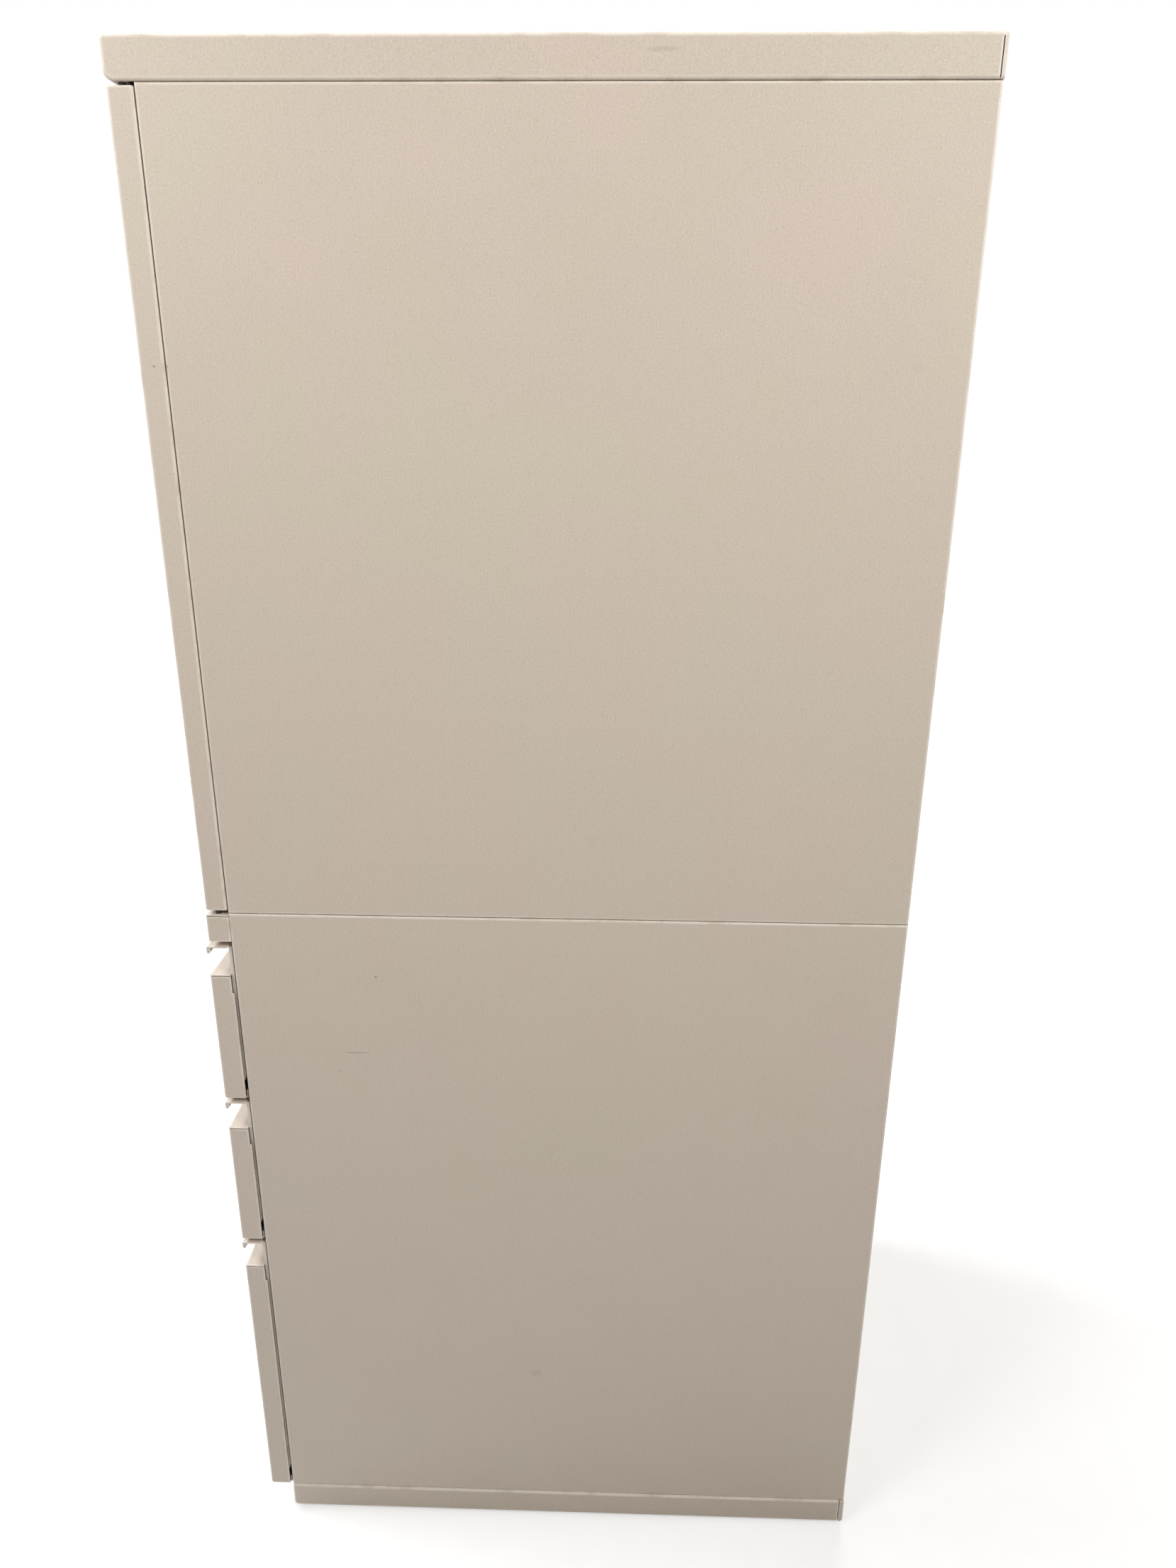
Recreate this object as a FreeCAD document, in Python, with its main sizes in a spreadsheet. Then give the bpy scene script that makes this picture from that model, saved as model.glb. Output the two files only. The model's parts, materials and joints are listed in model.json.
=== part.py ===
import FreeCAD, Part
import collections
import math
import os
import types

import Sketcher

# A storage tower in painted sheet steel: a three-drawer pedestal (two box drawers over a file
# drawer) with a cupboard on top of it and one cap over both. The front faces -Y, the hinge side of
# the door is +X, and the origin is on the floor under the middle of the tower.

# Driving sizes, in mm. Heights are above the underside of the base, depths are from the front edge
# of the side panels, and "proud" means forward of that edge.
DRIVING = {
    "case_width": 457.0,
    "case_depth": 588.0,
    "lip_proud": 23.6,
    "sheet": 1.2,
    "thin_sheet": 1.0,
    "slack": 0.3,
    "contact_gap": 0.1,
    "bend": 1.6,
    "bend_allowance": 0.6,
    # Base and glides
    "glide_drop": 5.0,
    "glide_radius": 14.0,
    "glide_foot": 4.5,
    "glide_stem": 4.0,
    "glide_collar": 6.5,
    "glide_inset": 38.0,
    "gusset_sheet": 2.5,
    "gusset_reach": 54.0,
    "base_height": 28.5,
    "base_setback": 0.5,
    "base_flange": 30.0,
    "base_round": 3.6,
    "base_top_round": 2.4,
    "base_rear_depth": 4.4,
    "trim_proud": 1.6,
    "seam": 0.9,
    # Case panels
    "panel_flange": 14.0,
    "pedestal_top_level": 703.6,
    "unit_gap": 0.4,
    "side_height": 1330.0,
    "cap_bottom": 1330.2,
    "cap_top": 1358.0,
    "cap_proud": 20.0,
    "cap_round": 6.5,
    "cap_edge": 3.0,
    "cap_side_bend": 2.2,
    "cap_side_hem": 2.9,
    "cap_front_hem": 14.8,
    "cap_seam_inset": 2.5,
    "roof_depth": 25.7,
    "header_front": 1.3,
    "floor_upturn": 13.0,
    # Bolts that clamp the two units together
    "bolt_across": 150.0,
    "bolt_near": 60.0,
    "bolt_far": 520.0,
    "bolt_radius": 4.0,
    "bolt_hole": 4.2,
    "bolt_head": 7.5,
    "bolt_head_height": 5.3,
    "nut_height": 6.5,
    # Fixed rail above the drawers
    "rail_bottom": 676.6,
    "rail_top": 702.5,
    "rail_proud": 20.2,
    "rail_rear_round": 0.9,
    # Uprights and ballast
    "slide_plane": 208.0,
    "upright_width": 40.0,
    "front_upright": 9.0,
    "rear_upright": 496.0,
    "ballast_width": 340.0,
    "ballast_depth": 30.0,
    "ballast_height": 110.0,
    # Telescopic slides
    "slide_length": 533.0,
    "slide_front": 6.0,
    "slide_thick": 12.7,
    "slide_height": 45.0,
    "fixed_depth": 11.5,
    "middle_near": 2.0,
    "middle_web": 5.7,
    "middle_far": 10.4,
    "middle_inset": 4.0,
    "inner_depth": 7.7,
    "inner_inset": 8.0,
    # Drawers
    "lip_level": 671.2,
    "drawer_pitch": 161.4,
    "reveal": 4.4,
    "front_proud": 22.6,
    "front_rear": 2.8,
    "front_round": 2.4,
    "ledge_drop": 27.7,
    "pull_drop": 46.0,
    "pull_sheet": 1.4,
    "hem_depth": 3.8,
    "hem_height": 6.8,
    "roll_hollow": 0.6,
    "seam_start": 1.4,
    "return_rise": 8.0,
    "head_rear": 1.3,
    "head_inset": 2.6,
    "head_rise": 18.5,
    "head_nesting": 1.5,
    "head_slope": 5.9,
    "box_rise": 12.0,
    "file_box_rise": 18.0,
    "box_drop": 30.0,
    "box_rear": 535.0,
    "hem_width": 3.0,
    "hem_drop": 9.0,
    "box_slide_rise": 52.0,
    "file_slide_rise": 120.0,
    # Cam locks
    "barrel_radius": 7.5,
    "barrel_hole": 7.6,
    "bezel_width": 2.0,
    "bezel_proud": 1.5,
    "plug_radius": 5.0,
    "plug_bore": 5.05,
    "plug_proud": 1.8,
    "key_slot_half": 0.6,
    "key_slot_reach": 3.0,
    # Central lock
    "lock_x": 185.0,
    "lock_clearance": 10.6,
    "crank_radius": 8.0,
    "crank_pin": 1.5,
    "bar_window": 2.3,
    "bar_arm": 7.0,
    "lock_throw": 5.5,
    "bar_left": 208.3,
    "bar_right": 218.3,
    "bar_front": 2.9,
    "bar_thick": 2.0,
    "catch_above_slide": 30.0,
    "hook_rear": 8.0,
    "hook_height": 9.0,
    "hook_neck": 6.0,
    "hook_side": 1.0,
    "hook_sheet": 2.0,
    # Door
    "door_bottom": 706.5,
    "door_top": 1328.0,
    "door_proud": 19.4,
    "door_rear": 0.7,
    "door_rear_round": 1.9,
    "door_fold": 1.1,
    "pivot_inset": 4.6,
    "pivot_proud": 9.5,
    "pin_radius": 2.5,
    "pin_length": 16.0,
    "bush_length": 18.0,
    "bush_wall": 0.8,
    "pin_clearance": 0.06,
    "bracket_width": 27.0,
    "bracket_front": 12.9,
    "bracket_rear": 34.0,
    "bracket_sheet": 2.2,
    "upper_bracket_level": 1333.4,
    "lower_bracket_level": 697.9,
    "door_lock_x": 168.0,
    "door_lock_level": 1000.0,
    "cam_length": 50.0,
    "cam_half": 7.0,
    "cam_round": 4.0,
    "catch_near": 110.0,
    "catch_far": 150.0,
    # Shelf and its standards
    "standard_face": 214.5,
    "standard_width": 20.0,
    "standard_front": 50.0,
    "standard_rear": 500.0,
    "standard_bottom": 720.0,
    "standard_top": 1300.0,
    "slot_pitch": 25.4,
    "slot_height": 10.0,
    "slot_half": 1.6,
    "first_slot": 735.0,
    "clip_rise": 14.0,
    "clip_reach": 9.0,
    "clip_half": 7.0,
    "tongue_half": 1.2,
    "shelf_depth": 20.0,
    "shelf_front": 12.0,
    "shelf_rear": 570.0,
    # Stiffeners under the cap
    "stiffener_near": 80.0,
    "stiffener_far": 470.0,
    "stiffener_depth": 30.0,
    # Wall anchor holes
    "anchor_spacing": 300.0,
    "anchor_radius": 3.5,
    "anchor_level": 1290.0,
}
BOX, FILE = "box", "file"
DRAWERS = ((1, BOX), (2, BOX), (3, FILE))
SLOT_COUNT = 21
SHELF_SLOT = 11


class Size:
    """A length in mm that keeps the formula it was worked out from."""

    def __init__(self, number, formula=None):
        self.number = float(number)
        self.formula = formula or f"({self.number})"

    def __add__(self, other):
        other = as_size(other)
        return Size(self.number + other.number, f"({self.formula} + {other.formula})")

    def __mul__(self, factor):
        return Size(self.number * factor, f"({self.formula} * {factor})")

    def __truediv__(self, divisor):
        return Size(self.number / divisor, f"({self.formula} / {divisor})")

    def __neg__(self):
        return Size(-self.number, f"(0 - {self.formula})")

    def __sub__(self, other):
        other = as_size(other)
        return Size(self.number - other.number, f"({self.formula} - {other.formula})")

    def __rsub__(self, other):
        return as_size(other) - self

    __radd__ = __add__
    __rmul__ = __mul__


def as_size(value):
    return value if isinstance(value, Size) else Size(value)


doc = FreeCAD.newDocument("storage_tower")
sheet = doc.addObject("Spreadsheet::Sheet", "Sizes")
for row, (alias, value) in enumerate(DRIVING.items(), 1):
    sheet.set(f"A{row}", alias)
    sheet.set(f"B{row}", str(value))
    sheet.setAlias(f"B{row}", alias)
doc.recompute()
d = types.SimpleNamespace(**{alias: Size(value, "Sizes." + alias) for alias, value in DRIVING.items()})

# Planes that every piece is set out from
half = d.case_width / 2
side = half - d.trim_proud
inner = side - d.sheet
front = (d.lip_proud - d.case_depth) / 2
back = (d.lip_proud + d.case_depth) / 2
panel_rear = back - d.sheet


def up(height):
    """Row height of a height above the underside of the base."""
    return d.glide_drop + height


def behind(depth):
    """Row depth of a depth behind the front edge of the side panels."""
    return front + depth


def ahead(depth):
    """Row depth of a distance forward of the front edge of the side panels."""
    return front - depth


Circle = collections.namedtuple("Circle", "across along radius")
SIDE_OF_PLANE = {"XY": 1, "XZ": -1, "YZ": 1}
pieces = []


def piece(name):
    body = doc.addObject("PartDesign::Body", "Body")
    body.Label = name
    body.AllowCompound = True
    pieces.append(body)
    return body


def rect(low_u, high_u, low_v, high_v):
    low_u, high_u, low_v, high_v = (as_size(value) for value in (low_u, high_u, low_v, high_v))
    return [(low_u, low_v), (high_u, low_v), (high_u, high_v), (low_u, high_v)]


def mirrored(outline):
    """The same outline on the other side of the tower."""
    if isinstance(outline, Circle):
        return Circle(-outline.across, outline.along, outline.radius)
    return [(-as_size(u), v) for u, v in outline]


def both(outline):
    return [outline, mirrored(outline)]


def handed(hand, near, far):
    """Low and high X of a span on the right (+1) or left (-1) of the tower."""
    low, high = as_size(near), as_size(far)
    return (low, high) if hand > 0 else (-high, -low)


def place(drawing, geometry, point, across, along):
    """Ties one point of a drawing to the origin by its two coordinates."""
    for kind, value in (("DistanceX", as_size(across)), ("DistanceY", as_size(along))):
        index = drawing.addConstraint(Sketcher.Constraint(kind, -1, 1, geometry, point, value.number))
        drawing.setExpression(f"Constraints[{index}]", value.formula)


def draw(drawing, outline):
    if isinstance(outline, Circle):
        centre = FreeCAD.Vector(as_size(outline.across).number, as_size(outline.along).number, 0)
        radius = as_size(outline.radius)
        ring = drawing.addGeometry(Part.Circle(centre, FreeCAD.Vector(0, 0, 1), radius.number), False)
        place(drawing, ring, 3, outline.across, outline.along)
        index = drawing.addConstraint(Sketcher.Constraint("Radius", ring, radius.number))
        drawing.setExpression(f"Constraints[{index}]", radius.formula)
        return
    corners = [FreeCAD.Vector(as_size(u).number, as_size(v).number, 0) for u, v in outline]
    count = len(corners)
    lines = [
        drawing.addGeometry(Part.LineSegment(corners[i], corners[(i + 1) % count]), False)
        for i in range(count)
    ]
    for i in range(count):
        drawing.addConstraint(Sketcher.Constraint("Coincident", lines[i], 2, lines[(i + 1) % count], 1))
        place(drawing, lines[i], 1, *outline[i])


def sketch(body, plane, level, outlines):
    """Closed outlines on an origin plane, lifted to a level along the row axis it faces."""
    drawing = body.newObject("Sketcher::SketchObject", "Outline")
    origin = [item for item in body.Origin.OriginFeatures if item.Role == plane + "_Plane"][0]
    drawing.AttachmentSupport = (origin, "")
    drawing.MapMode = "FlatFace"
    lift = level * SIDE_OF_PLANE[plane]
    drawing.setExpression("AttachmentOffset.Base.z", lift.formula)
    for outline in outlines:
        draw(drawing, outline)
    return drawing


def pad(body, plane, outlines, low, high):
    """Adds material between two levels of the axis that the plane faces."""
    low, high = as_size(low), as_size(high)
    drawing = sketch(body, plane, low if SIDE_OF_PLANE[plane] > 0 else high, outlines)
    feature = body.newObject("PartDesign::Pad", "Pad")
    feature.Profile = drawing
    feature.setExpression("Length", (high - low).formula)
    return feature


def pocket(body, plane, outlines, low, high):
    """Takes material away between two levels of the axis that the plane faces."""
    low, high = as_size(low), as_size(high)
    doc.recompute()
    before = body.Shape.Volume
    drawing = sketch(body, plane, high if SIDE_OF_PLANE[plane] > 0 else low, outlines)
    feature = body.newObject("PartDesign::Pocket", "Pocket")
    feature.Profile = drawing
    feature.setExpression("Length", (high - low).formula)
    doc.recompute()
    if body.Shape.Volume > before - 1e-3:
        raise RuntimeError(f"a pocket of {body.Label} cuts nothing")
    return feature


def on(**places):
    """Picks the edges that lie wholly at the given coordinates, such as on(x=side, z=top)."""
    wanted = {axis.upper(): as_size(value).number for axis, value in places.items()}

    def fits(edge):
        return all(
            abs(getattr(corner, axis) - value) < 1e-4
            for corner in edge.Vertexes
            for axis, value in wanted.items()
        )

    return fits


def dress_edges(body, kind, dimension, size, picks):
    """Works every edge of the body so far that one of the picks accepts."""
    doc.recompute()
    tip = body.Tip
    names = [
        f"Edge{index}"
        for index, edge in enumerate(tip.Shape.Edges, 1)
        if any(pick(edge) for pick in picks)
    ]
    feature = body.newObject("PartDesign::" + kind, kind)
    feature.Base = (tip, names)
    feature.setExpression(dimension, as_size(size).formula)


def round_edges(body, radius, *picks):
    dress_edges(body, "Fillet", "Radius", radius, picks)


def bevel_edges(body, width, *picks):
    dress_edges(body, "Chamfer", "Size", width, picks)


def base_frame():
    """Plinth: one strip of sheet folded to a C-section, bent round the front and both sides."""
    body = piece("base_frame")
    face = behind(d.base_setback)
    rear = back - d.base_rear_depth - d.seam
    top = up(d.base_height)
    corner = d.base_round + d.bend_allowance
    past = rear + d.sheet
    pad(body, "XY", [rect(-half, half, face, rear)], up(0), top)
    round_edges(body, d.base_round, on(y=face, z=up(0)))
    hands = (1, -1)
    round_edges(body, d.base_top_round, on(y=face, z=top), *[on(x=half * hand, z=top) for hand in hands])
    round_edges(body, d.bend, *[on(x=half * hand, z=up(0)) for hand in hands])
    cavity = [
        (face + d.sheet, top - d.sheet),
        (face + d.sheet, up(corner)),
        (face + corner, up(d.sheet)),
        (past, up(d.sheet)),
        (past, top - d.sheet),
    ]
    pocket(body, "YZ", [cavity], -(half - d.sheet), half - d.sheet)
    flange = half - d.base_flange
    pocket(body, "XY", [rect(-flange, flange, face + d.base_flange, past)], up(-1), top + 1)


def base_rear_rail():
    """Shallow channel that closes the plinth across the back."""
    body = piece("base_rear_rail")
    face = back - d.base_rear_depth
    top = up(d.base_height)
    pad(body, "XY", [rect(-half, half, face, back)], up(0), top)
    round_edges(body, d.base_round, on(y=back, z=up(0)))
    corner = d.base_round + d.bend_allowance
    cavity = [
        (face - 1, top - d.sheet),
        (face - 1, up(d.sheet)),
        (back - corner, up(d.sheet)),
        (back - d.sheet, up(corner)),
        (back - d.sheet, top - d.sheet),
    ]
    pocket(body, "YZ", [cavity], -(half - d.sheet), half - d.sheet)


def glide_places():
    """Centres of the four glides."""
    near = behind(d.glide_inset + d.base_setback)
    far = back - d.glide_inset
    across = half - d.glide_inset
    return [(across * hand, along) for hand in (1, -1) for along in (near, far)]


gusset_level = d.glide_drop + d.base_height / 2


def levelling_glides():
    """Four screw glides: a round foot, a threaded stem and the weld nut it turns in."""
    body = piece("levelling_glides")
    feet = [Circle(x, y, d.glide_radius) for x, y in glide_places()]
    stems = [Circle(x, y, d.glide_stem) for x, y in glide_places()]
    nuts = [Circle(x, y, d.glide_collar) for x, y in glide_places()]
    under_gusset = gusset_level - d.gusset_sheet / 2
    pad(body, "XY", feet, 0, d.glide_foot)
    round_edges(body, 1.2, on(z=d.glide_foot))
    pad(body, "XY", stems, d.glide_foot, gusset_level + 10)
    pad(body, "XY", nuts, under_gusset - 5.75, under_gusset)


def glide_gussets():
    """Corner plates welded inside the plinth, which the glides screw through."""
    body = piece("glide_gussets")
    low, high = gusset_level - d.gusset_sheet / 2, gusset_level + d.gusset_sheet / 2
    plinth_front = behind(d.base_setback) + d.sheet
    plinth_rear = back - d.base_rear_depth
    depths = [
        (plinth_front, plinth_front + d.gusset_reach),
        (back - d.gusset_reach, plinth_rear),
    ]
    outlines = [Circle(x, y, d.glide_stem + d.contact_gap) for x, y in glide_places()]
    for near, far in depths:
        outlines += both(rect(half - d.base_flange - d.gusset_reach / 2, half - d.sheet, near, far))
    pad(body, "XY", outlines, low, high)


def side_panel(name, hand, low, high):
    """Side panel: a flat sheet with a narrow flange turned in along all four edges."""
    body = piece(name)
    low_x, high_x = handed(hand, side - d.panel_flange, side)
    pad(body, "XY", [rect(low_x, high_x, front, back)], low, high)
    round_edges(body, d.bend, on(x=side * hand))
    low_x, high_x = handed(hand, side - d.panel_flange - 1, inner)
    outline = rect(behind(d.sheet), panel_rear, low + d.sheet, high - d.sheet)
    pocket(body, "YZ", [outline], low_x, high_x)
    return body


def back_panel(name, low, high):
    """Back panel: a flat sheet spot-welded inside the rear flanges of the sides."""
    body = piece(name)
    edge = inner - d.slack
    pad(body, "XY", [rect(-edge, edge, panel_rear - d.thin_sheet, panel_rear)], low, high)
    return body


def pedestal_floor():
    """Floor of the pedestal: a sheet with its front edge turned up."""
    body = piece("pedestal_floor")
    low = up(d.base_height + d.sheet + d.contact_gap)
    edge = inner - d.slack
    near = behind(d.header_front)
    far = panel_rear - d.thin_sheet - d.contact_gap
    pad(body, "XY", [rect(-edge, edge, near, far)], low, low + d.sheet)
    edge = side - d.panel_flange - d.slack
    upturn = [rect(-edge, edge, near, near + d.sheet)]
    pad(body, "XY", upturn, low + d.sheet, low + d.floor_upturn)


# Pivot line of the door
pivot_x = side - d.pivot_inset
pivot_y = ahead(d.pivot_proud)

# Levels inside the case, and where the units are bolted together
floor_top = up(d.base_height + d.sheet * 2 + d.contact_gap)
top_plate = up(d.pedestal_top_level - d.sheet * 2 - d.contact_gap * 2)
lock_level = up((d.rail_bottom + d.rail_top) / 2)
door_lock_level = up(d.door_lock_level)
cupboard_floor_level = up(d.pedestal_top_level + d.unit_gap + d.sheet + d.contact_gap)
roof_level = up(d.side_height - d.sheet - d.contact_gap)
bolt_places = [
    (d.bolt_across * hand, behind(depth)) for hand in (-1, 1) for depth in (d.bolt_near, d.bolt_far)
]


def pedestal_top():
    """Top sheet of the pedestal, with a header turned down behind the fixed rail."""
    body = piece("pedestal_top")
    edge = inner - d.slack
    near = behind(d.header_front)
    far = panel_rear - d.thin_sheet - d.contact_gap
    holes = [Circle(x, y, d.bolt_hole) for x, y in bolt_places]
    pad(body, "XY", [rect(-edge, edge, near, far)] + holes, top_plate, top_plate + d.sheet)
    edge = side - d.panel_flange - d.slack
    header = rect(-edge, edge, up(d.rail_bottom), top_plate)
    lock_room = Circle(d.lock_x, lock_level, d.lock_clearance)
    pad(body, "XZ", [header, lock_room], near, near + d.sheet)


def hinge_hole():
    """Clearance round a hinge pin where it passes through a sheet."""
    return Circle(pivot_x, pivot_y, d.pin_radius + 0.3)


def front_rail():
    """Fixed rail above the drawers, a folded strip that also carries the lock."""
    body = piece("front_rail")
    low, high = up(d.rail_bottom), up(d.rail_top)
    face = ahead(d.rail_proud)
    pad(body, "XY", [rect(-side, side, face, front)], low, high)
    round_edges(body, d.bend, on(y=face))
    round_edges(body, d.rail_rear_round, on(x=side, y=front), on(x=-side, y=front))
    pocket(body, "XZ", [rect(-inner, inner, low + d.sheet, high - d.sheet)], face + d.sheet, front)
    seam = rect(face + d.seam_start, front, high - d.sheet - d.seam, high - d.sheet)
    pocket(body, "YZ", [seam], -side - 1, side + 1)
    pocket(body, "XY", [hinge_hole()], high - d.sheet - 0.1, high + 1)
    pocket(body, "XZ", [Circle(d.lock_x, lock_level, d.barrel_hole)], face - 1, face + 3)


def uprights(name, depth):
    """A pair of upright channels that the slides are screwed to."""
    body = piece(name)
    near, far = behind(depth), behind(depth + d.upright_width)
    hollow = rect(d.slide_plane + d.sheet, inner, near + d.sheet, far - d.sheet)
    outline = rect(d.slide_plane, inner - d.contact_gap, near, far)
    pad(body, "XY", both(outline), floor_top, top_plate)
    pocket(body, "XY", both(hollow), floor_top - 1, top_plate + 1)


def counterweight():
    """Ballast block on the pedestal floor behind the drawers, against tipping."""
    body = piece("counterweight")
    reach = d.ballast_width / 2
    far = panel_rear - d.thin_sheet - d.contact_gap * 2
    block = [rect(-reach, reach, far - d.ballast_depth, far)]
    pad(body, "XY", block, floor_top, floor_top + d.ballast_height)


def slide_outline(points, level):
    """Section of a slide member from (distance off the mounting plane, height) points."""
    return [(d.slide_plane - off, level + rise) for off, rise in points]


def channel_points(near, far, reach):
    """C-section: a web at one side and two flanges towards the other."""
    web = near + d.sheet if near.number < far.number else near - d.sheet
    lip = reach - d.sheet
    outside = [(far, -reach), (near, -reach), (near, reach), (far, reach)]
    return outside + [(far, lip), (web, lip), (web, -lip), (far, -lip)]


def beam_points(low, web, high, reach):
    """I-section: a web in the middle and flanges on both sides of it."""
    lip = reach - d.sheet
    far_web = web + d.sheet
    upper = [(low, reach), (high, reach), (high, lip), (far_web, lip)]
    lower = [(far_web, -lip), (high, -lip), (high, -reach), (low, -reach), (low, -lip), (web, -lip)]
    return upper + lower + [(web, lip), (low, lip)]


def telescopic_slides(number, level):
    """Full-extension slides, left and right: fixed, middle and drawer members."""
    reach = d.slide_height / 2
    near = behind(d.slide_front)
    sections = {
        "fixed": channel_points(as_size(0), d.fixed_depth, reach),
        "middle": beam_points(d.middle_near, d.middle_web, d.middle_far, reach - d.middle_inset),
        "inner": channel_points(d.slide_thick, d.inner_depth, reach - d.inner_inset),
    }
    for member, points in sections.items():
        body = piece(f"drawer_{number}_slides_{member}")
        pad(body, "XZ", both(slide_outline(points, level)), near, near + d.slide_length)


def drawer_levels(number):
    """Top of the lip and bottom of the front of a drawer, counted from the top one."""
    top = up(d.lip_level - d.drawer_pitch * (number - 1))
    if number == 3:
        return top, up(d.base_height + d.slack)
    return top, top - d.drawer_pitch + d.reveal


def slide_height_above(bottom, kind):
    """Height of the middle of the slides of a drawer whose front ends at a bottom."""
    return bottom + (d.box_slide_rise if kind == BOX else d.file_slide_rise)


def drawer_front(number, top, bottom):
    """Outer skin: a folded pan, its top edge the ledge under the pull, its bottom turned back up."""
    body = piece(f"drawer_{number}_front")
    ledge = top - d.ledge_drop
    face, rear = ahead(d.front_proud), ahead(d.front_rear)
    behind_pull = rear - d.pull_sheet - d.contact_gap
    pad(body, "XY", [rect(-side, side, face, rear)], bottom, ledge)
    round_edges(body, d.front_round, on(y=face, z=bottom))
    upright_edges = [on(x=side * hand, y=face) for hand in (1, -1)]
    round_edges(body, d.sheet, on(y=face, z=ledge), *upright_edges)
    pocket(body, "XZ", [rect(-inner, inner, bottom + d.sheet, ledge - d.sheet)], face + d.sheet, rear)
    notch = rect(behind_pull, rear + 1, top - d.pull_drop - 0.6, ledge + 1)
    seam = rect(face + d.seam_start, rear + 1, ledge - d.sheet - d.seam, ledge - d.sheet)
    pocket(body, "YZ", [notch], -side - 1, side + 1)
    pocket(body, "YZ", [seam], -side - 1, side + 1)
    edge = side - d.head_inset
    fold = ahead(d.head_rear)
    bottom_return = [
        (rear - d.sheet, bottom),
        (fold, bottom),
        (fold, bottom + d.return_rise),
        (fold - d.sheet, bottom + d.return_rise),
        (fold - d.sheet, bottom + d.sheet),
        (rear - d.sheet, bottom + d.sheet),
    ]
    pad(body, "YZ", [bottom_return], -edge, edge)


def drawer_pull(number, top):
    """Full-width pull: a rolled lip over the finger recess and the wall behind it."""
    body = piece(f"drawer_{number}_pull")
    wall_rear = ahead(d.front_rear)
    wall_face = wall_rear - d.pull_sheet
    tip = ahead(d.lip_proud)
    hem_rear = tip + d.hem_depth
    profile = [
        (tip, top),
        (tip, top - d.hem_height),
        (hem_rear, top - d.hem_height),
        (hem_rear, top - d.pull_sheet),
        (wall_face, top - d.pull_sheet),
        (wall_face, top - d.pull_drop),
        (wall_rear, top - d.pull_drop),
        (wall_rear, top),
    ]
    pad(body, "YZ", [profile], -side, side)
    round_edges(body, d.bend, on(y=tip), on(y=hem_rear, z=top - d.hem_height), on(y=wall_rear, z=top))
    roll = Circle(tip + d.hem_depth / 2, top - d.hem_height + d.hem_depth / 2, d.roll_hollow)
    pocket(body, "YZ", [roll], -side - 1, side + 1)
    end = rect(side - d.head_inset, side + 1, wall_face - d.contact_gap, wall_rear + 1)
    pocket(body, "XY", both(end), top - d.pull_drop - 1, top + 1)


def drawer_head(number, top, bottom, slide_level):
    """Inner pan nested in the back of the front, with the hooked tab that the lock bar holds."""
    body = piece(f"drawer_{number}_head")
    edge = side - d.head_inset
    seat, rear = ahead(d.front_rear), ahead(d.head_rear)
    nested = seat - d.head_nesting
    low, high = bottom + d.head_rise, top - d.pull_sheet
    under_pull = top - d.pull_drop - d.contact_gap * 4
    outside = [
        (nested, low),
        (seat, low),
        (rear, low + d.head_slope),
        (rear, high),
        (seat, high),
        (seat, under_pull),
        (nested, under_pull),
    ]
    web = rear - d.sheet
    floor = low + d.sheet
    hollow = [
        (nested - 1, floor),
        (seat - d.sheet, floor),
        (web, floor + d.head_slope),
        (web, high - d.sheet),
        (nested - 1, high - d.sheet),
    ]
    pad(body, "YZ", [outside], -edge, edge)
    pocket(body, "YZ", [hollow], -edge + d.sheet, edge - d.sheet)
    tab_low = slide_level + d.catch_above_slide
    neck, tab_high = tab_low + d.hook_neck, tab_low + d.hook_height
    slot_near = behind(d.bar_front) - 0.5
    slot_far = slot_near + d.bar_thick + 1
    tab = [
        (rear, tab_low),
        (slot_near, tab_low),
        (slot_near, neck),
        (slot_far, neck),
        (slot_far, tab_low),
        (behind(d.hook_rear), tab_low),
        (behind(d.hook_rear), tab_high),
        (rear, tab_high),
    ]
    tab_left = d.bar_left + d.hook_side
    pad(body, "YZ", [tab], tab_left, tab_left + d.hook_sheet)


def drawer_box(number, top, bottom, rise):
    """Drawer body: one sheet folded into a tray, its top edges hemmed inwards."""
    body = piece(f"drawer_{number}_box")
    edge = d.slide_plane - d.slide_thick
    near, far = ahead(d.head_rear), behind(d.box_rear)
    low, high = bottom + rise, top - d.box_drop
    pad(body, "XY", [rect(-edge, edge, near, far)], low, high)
    wall = d.thin_sheet
    pocket(body, "XY", [rect(-edge + wall, edge - wall, near + wall, far - wall)], low + wall, high)
    hem = d.hem_width
    ring = [rect(-edge, edge, near, far), rect(-edge + hem, edge - hem, near + hem, far - hem)]
    pad(body, "XY", ring, high - d.hem_drop, high)


def drawer(number, kind):
    """All pieces of one drawer and of the slides that carry it."""
    top, bottom = drawer_levels(number)
    slide_level = slide_height_above(bottom, kind)
    telescopic_slides(number, slide_level)
    drawer_front(number, top, bottom)
    drawer_pull(number, top)
    drawer_head(number, top, bottom, slide_level)
    drawer_box(number, top, bottom, d.box_rise if kind == BOX else d.file_box_rise)


def lock_barrel(name, x, level, face, rear):
    """Fixed barrel of a cam lock, with its bezel against the painted face."""
    body = piece(name)
    bore = Circle(x, level, d.plug_bore)
    bezel_front = face - d.bezel_proud
    rim = d.barrel_radius + d.bezel_width
    pad(body, "XZ", [Circle(x, level, rim), bore], bezel_front, face)
    round_edges(body, 0.6, lambda edge: on(y=bezel_front)(edge) and edge.Curve.Radius > 6)
    pad(body, "XZ", [Circle(x, level, d.barrel_radius), bore], face, rear)


def lock_plug(name, x, level, face, rear):
    """Turning plug of a cam lock, with its key slot upright."""
    body = piece(name)
    near = face - d.plug_proud
    wide, tall = d.key_slot_half, d.key_slot_reach
    pad(body, "XZ", [Circle(x, level, d.plug_radius)], near, rear)
    pocket(body, "XZ", [rect(x - wide, x + wide, level - tall, level + tall)], near, face + 4)


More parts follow.
